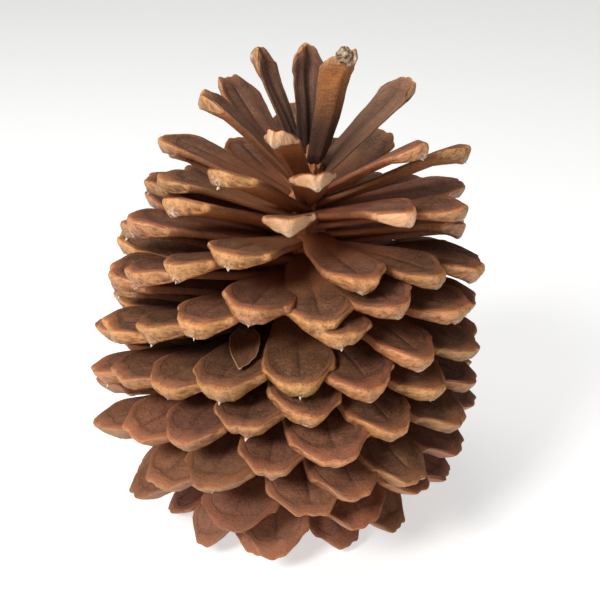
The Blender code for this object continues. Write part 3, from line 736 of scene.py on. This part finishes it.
def prickle_points(chosen):
    """Cones on a bent line: radius (1 - s)^0.8, centre out along the scale by s and down by s + s^2 / 5."""
    shape = np.random.default_rng(SHAPE_SEED)
    count = len(chosen["length"])
    size = (PRICKLE_LENGTH * (0.30 + 0.85 * shape.uniform(0.0, 1.0, count) ** 1.5))[:, None, None, None]
    sway = shape.uniform(-0.35, 0.35, count)[:, None, None, None]
    s = np.linspace(0.0, 1.0, PRICKLE_RINGS)[None, :, None, None]
    turn = np.linspace(0.0, math.tau, PRICKLE_SIDES, endpoint=False)[None, None, :, None]
    along, across, up = (chosen[name][:, None, None, :] for name in ("along", "across", "up"))
    depth = chosen["depth"][:, None, None, None]
    length = chosen["length"][:, None, None, None]
    station = chosen["station"][:, None, None, None]
    place = PRICKLE_PLACE - face_lean(station)
    start = chosen["root"][:, None, None, :] + along * (length * place) - up * (depth * 0.88)
    line = start + along * (0.45 * size * s) + across * (sway * size * s)
    line = line - up * (size * (0.75 * s + 0.15 * s**2))
    radius = PRICKLE_RADIUS * (1.0 - s) ** 0.8 * (depth / 0.0045)
    points = line + (across * np.cos(turn) + unit(along * 0.8 + up * 0.6) * np.sin(turn)) * radius
    points[..., 2] = np.maximum(points[..., 2], 0.0)
    return points, np.broadcast_to(s[..., 0], points.shape[:3])


grown = {key: values[scales["grown"]] for key, values in scales.items()}
points, toward_tip = prickle_points(grown)
count = len(points)
cone, foot, tip = tube_faces(PRICKLE_RINGS, PRICKLE_SIDES)
starts = np.arange(count)[:, None, None] * PRICKLE_RINGS * PRICKLE_SIDES
ends = list(foot + starts[:, 0]) + list(tip[::-1] + starts[:, 0])
prickles = mesh_piece(
    "prickles",
    points.reshape(-1, 3),
    (cone[None] + starts).reshape(-1, 4),
    ends,
    {"toward_tip": toward_tip.reshape(-1)},
)

# Horny scale tissue, bleached. It catches the light as small pale points on a brown foot.
PRICKLE_PALE = "#c9b69c"
PRICKLE_BROWN = "#8a6040"
PRICKLE_BLOTCH_MM = 1.2
horn, tree, surface = start_material("bleached_prickle_horn")
where = add(tree, "ShaderNodeTexCoord", "Object", {})
noise = {"Vector": where, "Scale": 1000 / PRICKLE_BLOTCH_MM, "Detail": 2.0}
blotches = add(tree, "ShaderNodeTexNoise", 0, noise)
tip = add(tree, "ShaderNodeAttribute", "Fac", {}, attribute_name="toward_tip")
share = add(tree, "ShaderNodeMath", 0, {0: blotches, 1: 1.0, 2: tip}, **plus)
share = add(tree, "ShaderNodeMapRange", 0, ramp(share, 0.45, 0.95), **smooth)
colour = add(tree, "ShaderNodeMix", 2, {0: share, 6: linear(PRICKLE_BROWN), 7: linear(PRICKLE_PALE)}, **blend)
tree.links.new(colour, surface.inputs["Base Color"])
surface.inputs["Roughness"].default_value = 0.5
prickles.data.materials.append(horn)
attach(prickles, "root")
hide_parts("pine_cone")

# The knob
# The scale that ends the cone at the front carries a swollen umbo, weathered to a cracked grey knob. It is
# one growth with its scale and is sunk into its end.

KNOB_SCALE = (0, 0)
KNOB_RADIUS = 0.0020
KNOB_ASIDE = 0.0014
KNOB_PLACE = 0.985
KNOB_DROP = 0.7
KNOB_CUTS = 0.00028
KNOB_RINGS = 24
KNOB_SIDES = 36
KNOB_POLE = 0.12


def one_scale(key):
    """The root, directions and sizes of the scale at a (level, place) of the spiral."""
    found = (scales["level"] == key[0]) & (scales["place"] == key[1])
    return {name: values[found][0] for name, values in scales.items()}


top_scale = one_scale(KNOB_SCALE)
polar = np.linspace(KNOB_POLE, math.pi - KNOB_POLE, KNOB_RINGS)[:, None]
round_it = np.linspace(0.0, math.tau, KNOB_SIDES, endpoint=False)[None, :]


def knob_points():
    """A ball whose radius sinks along crossing furrows, by the fourth power of the sines of both angles."""
    furrows = np.abs(np.sin(2.5 * round_it + 2.0 * polar)) ** 0.4 * np.abs(np.sin(3.2 * polar + 0.6)) ** 0.4
    grains = 0.00008 * np.sin(9.0 * round_it) * np.sin(7.0 * polar)
    radius = KNOB_RADIUS - KNOB_CUTS * 1.6 * (1.0 - furrows) + grains
    level = np.sin(polar)
    ball = [level * np.cos(round_it), level * np.sin(round_it), np.cos(polar) + 0.0 * round_it]
    centre = top_scale["root"] + top_scale["along"] * (KNOB_PLACE * top_scale["length"])
    centre = centre - top_scale["up"] * (KNOB_DROP * top_scale["depth"]) - top_scale["across"] * KNOB_ASIDE
    return centre + np.stack(ball, axis=-1) * radius[..., None]


quads, first, last = tube_faces(KNOB_RINGS, KNOB_SIDES)
knob = mesh_piece("weathered_knob", knob_points().reshape(-1, 3), quads, [first, last[::-1]])

# Umbo horn, weathered grey with dark cracks and pale crusts.
KNOB_DARK = "#4a382a"
KNOB_GREY = "#967c60"
KNOB_PALE = "#cdbb9f"
KNOB_CRUST_MM = 0.8
crust, tree, surface = start_material("weathered_umbo_horn")
where = add(tree, "ShaderNodeTexCoord", "Object", {})
mottle = add(tree, "ShaderNodeTexNoise", 0, {"Vector": where, "Scale": 1000 / KNOB_CRUST_MM, "Detail": 4.0})
share = add(tree, "ShaderNodeMapRange", 0, ramp(mottle, 0.38, 0.55), **smooth)
colour = add(tree, "ShaderNodeMix", 2, {0: share, 6: linear(KNOB_DARK), 7: linear(KNOB_GREY)}, **blend)
share = add(tree, "ShaderNodeMapRange", 0, ramp(mottle, 0.60, 0.74), **smooth)
colour = add(tree, "ShaderNodeMix", 2, {0: share, 6: colour, 7: linear(KNOB_PALE)}, **blend)
tree.links.new(colour, surface.inputs["Base Color"])
surface.inputs["Roughness"].default_value = 0.6
bumped = add(tree, "ShaderNodeBump", 0, {"Height": mottle, "Strength": 1.0, "Distance": 0.0004})
tree.links.new(bumped, surface.inputs["Normal"])
knob.data.materials.append(crust)
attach(knob, "root")
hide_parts("pine_cone")

# The winged seed
# A hard kernel with a papery wing that peeled off a scale's top face. It has slid out and lies loose on a
# scale at the front, with the wing's point towards the lip. The wing has one straight edge and one round.

SEED_TIP = (0.87, 0.0032)
SEED_KERNEL = (0.455, -0.0034)
SEED_GAP = 0.0005
KERNEL_LENGTH = 0.0064
KERNEL_WIDTH = 0.0042
KERNEL_DEPTH = 0.0023
WING_PLACE = (0.0, 0.20, 0.45, 0.70, 0.88, 1.0)
WING_STRAIGHT_EDGE = (0.0016, 0.0032, 0.0031, 0.0021, 0.0010, 0.0002)
WING_ROUND_EDGE = (0.0016, 0.0036, 0.0038, 0.0034, 0.0020, 0.0003)
WING_ROWS = 60
WING_COLUMNS = 25
WING_CURL = 0.00016
WING_THICKNESS = 0.00016
WING_ABOVE_KERNEL = 0.00034
KERNEL_RINGS = 20
KERNEL_SIDES = 28
KERNEL_POLE = 0.10

bed = one_scale(SEED_BED)


def on_bed(place, aside, above):
    """A point over the plain top face of the seed's scale, at a share of its length and a distance across."""
    shares = np.array(ARCH_PLACES)
    heights = bed["bow"] * 4.0 * shares * (1.0 - shares) + bed["cup"] * (2.0 * aside / bed["width"]) ** 2
    height = np.interp(place, shares, heights) + above
    return bed["root"] + bed["along"] * (bed["length"] * place) + bed["across"] * aside + bed["up"] * height


wing_tip = on_bed(*SEED_TIP, SEED_GAP)
kernel = on_bed(*SEED_KERNEL, SEED_GAP + KERNEL_DEPTH / 2)
wing_length = np.linalg.norm(wing_tip - kernel)
wing_along = unit(wing_tip - kernel)
wing_across = unit(bed["across"] - wing_along * np.dot(bed["across"], wing_along))
wing_up = np.cross(wing_along, wing_across)
place = np.linspace(0.0, 1.0, WING_ROWS)[:, None]
share_across = np.linspace(0.0, 1.0, WING_COLUMNS)[None, :]


def wing_points():
    """A sheet between its two edges, whose height is the curl towards the edges plus low waves and veins."""
    straight = np.interp(place, WING_PLACE, WING_STRAIGHT_EDGE) + 0.00006 * np.sin(70.0 * place) * place
    rounded = np.interp(place, WING_PLACE, WING_ROUND_EDGE) + 0.00008 * np.sin(43.0 * place + 1.0) * place
    aside = -straight + (straight + rounded) * share_across
    curl = WING_CURL * np.abs(2.0 * share_across - 1.0) ** 3
    waves = 0.00008 * np.sin(9.0 * place + 4.0 * share_across) + 0.00002 * np.sin(aside * 9000.0)
    height = WING_ABOVE_KERNEL + curl + waves
    to_edge = np.minimum(share_across, 1.0 - share_across) * (straight + rounded)
    points = (
        kernel
        + wing_along * (wing_length * place)[..., None]
        + wing_across * aside[..., None]
        + wing_up * height[..., None]
    )
    to_edge = np.minimum(to_edge, (1.0 - place) * wing_length * 0.5)
    grain = np.stack([aside, place * wing_length + 0.0 * aside, 0.0 * aside], axis=-1)
    return points, to_edge, grain


points, to_edge, grain = wing_points()
number = np.arange(WING_ROWS * WING_COLUMNS).reshape(WING_ROWS, WING_COLUMNS)
quads = np.stack([number[:-1, :-1], number[:-1, 1:], number[1:, 1:], number[1:, :-1]], axis=-1).reshape(-1, 4)
wing = mesh_piece(
    "seed_wing",
    points.reshape(-1, 3),
    quads,
    (),
    {"edge_mm": 1e3 * to_edge, "place": np.broadcast_to(place, to_edge.shape)},
    grain.reshape(-1, 3),
)
solid = wing.modifiers.new("thickness", "SOLIDIFY")
solid.thickness = WING_THICKNESS
solid.offset = 0.0

# Papery wing tissue, dried brown. It is thin and a little glossy, with fine veins towards the tip, and its
# edge is worn to a pale tan line.
WING_DARK = "#583b28"
WING_LIGHT = "#7f583e"
WING_EDGE = "#b8926c"
WING_VEINS_MM = (0.35, 6.0)
papery, tree, surface = start_material("papery_seed_wing")
own = add(tree, "ShaderNodeAttribute", "Vector", {}, attribute_name="grain")
across_mm, along_mm = WING_VEINS_MM
fitted = {"Vector": own, "Scale": (1000 / across_mm, 1000 / along_mm, 1000 / across_mm)}
noise = {"Vector": add(tree, "ShaderNodeMapping", 0, fitted), "Scale": 1.0, "Detail": 4.0, "Roughness": 0.6}
veins = add(tree, "ShaderNodeTexNoise", 0, noise)
share = add(tree, "ShaderNodeMapRange", 0, ramp(veins, 0.35, 0.65), **smooth)
colour = add(tree, "ShaderNodeMix", 2, {0: share, 6: linear(WING_DARK), 7: linear(WING_LIGHT)}, **blend)
to_edge = add(tree, "ShaderNodeAttribute", "Fac", {}, attribute_name="edge_mm")
share = add(tree, "ShaderNodeMapRange", 0, ramp(to_edge, 0.32, 0.10, 0.0, 0.80), **smooth)
colour = add(tree, "ShaderNodeMix", 2, {0: share, 6: colour, 7: linear(WING_EDGE)}, **blend)
tree.links.new(colour, surface.inputs["Base Color"])
surface.inputs["Roughness"].default_value = 0.5
bumped = add(tree, "ShaderNodeBump", 0, {"Height": veins, "Strength": 1.0, "Distance": 0.0001})
tree.links.new(bumped, surface.inputs["Normal"])
wing.data.materials.append(papery)
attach(wing, "root")
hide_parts("winged_seed")

polar = np.linspace(KERNEL_POLE, math.pi - KERNEL_POLE, KERNEL_RINGS)[:, None]
round_it = np.linspace(0.0, math.tau, KERNEL_SIDES, endpoint=False)[None, :]


def kernel_points():
    """An egg shape: half sizes along, across and up, narrower towards the wing by a tenth of its cosine."""
    narrow = 1.0 - 0.10 * np.cos(polar)
    lengthwise = (KERNEL_LENGTH / 2 * np.cos(polar) + 0.0 * round_it)[..., None]
    sideways = (KERNEL_WIDTH / 2 * 0.95 * narrow * np.sin(polar) * np.cos(round_it))[..., None]
    upwards = (KERNEL_DEPTH / 2 * 0.93 * np.sin(polar) * np.sin(round_it))[..., None]
    return kernel + wing_along * lengthwise + wing_across * sideways + wing_up * upwards


quads, first, last = tube_faces(KERNEL_RINGS, KERNEL_SIDES)
seed = mesh_piece("seed_kernel", kernel_points().reshape(-1, 3), quads, [first, last[::-1]])

# Hard seed coat, smooth and mottled dark and light brown, with a low gloss.
COAT_DARK = "#2e1d13"
COAT_LIGHT = "#6b4a30"
COAT_MOTTLE_MM = 1.1
coat, tree, surface = start_material("mottled_seed_coat")
where = add(tree, "ShaderNodeTexCoord", "Object", {})
mottle = add(tree, "ShaderNodeTexNoise", 0, {"Vector": where, "Scale": 1000 / COAT_MOTTLE_MM, "Detail": 3.0})
share = add(tree, "ShaderNodeMapRange", 0, ramp(mottle, 0.42, 0.58), **smooth)
colour = add(tree, "ShaderNodeMix", 2, {0: share, 6: linear(COAT_DARK), 7: linear(COAT_LIGHT)}, **blend)
tree.links.new(colour, surface.inputs["Base Color"])
surface.inputs["Roughness"].default_value = 0.38
seed.data.materials.append(coat)
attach(seed, "root")
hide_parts("winged_seed")

# The studio
# A pale lit floor that runs back out of sight, and soft white light from the left, the front and above. The
# air adds a little light from all round, and where it is looked at it is as bright as the far floor.

FLOOR_SIZE = 60.0
FLOOR_PALE = "#d2d1ce"
FLOOR_WHITE = "#ffffff"
FLOOR_GLOW = 0.58
AIR_LIGHT = 0.15
AIR_SEEN = 0.66
floor = mesh_piece(
    "studio_floor",
    np.array([(-1, -1, 0), (1, -1, 0), (1, 1, 0), (-1, 1, 0)]) * FLOOR_SIZE,
    np.array([[0, 1, 2, 3]]),
)
paper, tree, surface = start_material("pale_studio_paper")
surface.inputs["Base Color"].default_value = linear(FLOOR_PALE)
surface.inputs["Roughness"].default_value = 0.9
surface.inputs["Emission Color"].default_value = linear(FLOOR_WHITE)
surface.inputs["Emission Strength"].default_value = FLOOR_GLOW
floor.data.materials.append(paper)

MIDDLE = Vector((0.0024, 0.0004, 0.0573))


def soft_light(name, place, size, power):
    """A square area light at a place, turned to the cone."""
    lamp = bpy.data.lights.new(name, "AREA")
    lamp.size = size
    lamp.energy = power
    holder = bpy.data.objects.new(name, lamp)
    holder.location = place
    holder.rotation_euler = (MIDDLE - Vector(place)).to_track_quat("-Z", "Y").to_euler()
    bpy.context.scene.collection.objects.link(holder)


soft_light("key_light", (-0.42, -0.58, 0.55), 0.26, 7.5)
soft_light("front_fill", (-0.20, -0.87, 0.12), 0.45, 0.9)
soft_light("top_light", (-0.20, -0.05, 0.75), 0.50, 2.5)
world = bpy.data.worlds.new("studio_air")
world.use_nodes = True
tree = world.node_tree
air = tree.nodes["Background"]
air.inputs["Color"].default_value = (1.0, 1.0, 1.0, 1.0)
seen = add(tree, "ShaderNodeLightPath", "Is Camera Ray", {})
strength = add(tree, "ShaderNodeMapRange", 0, ramp(seen, 0.0, 1.0, AIR_LIGHT, AIR_SEEN))
tree.links.new(strength, air.inputs["Strength"])
bpy.context.scene.world = world
bpy.context.scene.view_settings.view_transform = "Standard"

# The camera
# It stands where the photo's did: 22 degrees above the level of the cone's middle, 28 cm away.

CAMERA_ELEVATION = math.radians(21.96)
CAMERA_DISTANCE = 0.2804
FOCAL_LENGTH = 70.1
SENSOR_WIDTH = 36.0
LOOK_RIGHT = 0.0013
LOOK_DOWN = 0.0010
look = Vector((0.0, math.cos(CAMERA_ELEVATION), -math.sin(CAMERA_ELEVATION)))
image_up = Vector((0.0, math.sin(CAMERA_ELEVATION), math.cos(CAMERA_ELEVATION)))
lens = bpy.data.cameras.new("photo_camera")
lens.sensor_width = SENSOR_WIDTH
lens.lens = FOCAL_LENGTH
camera = bpy.data.objects.new("photo_camera", lens)
camera.location = MIDDLE - look * CAMERA_DISTANCE + Vector((LOOK_RIGHT, 0.0, 0.0)) - image_up * LOOK_DOWN
camera.rotation_euler = look.to_track_quat("-Z", "Y").to_euler()
bpy.context.scene.collection.objects.link(camera)
bpy.context.scene.camera = camera
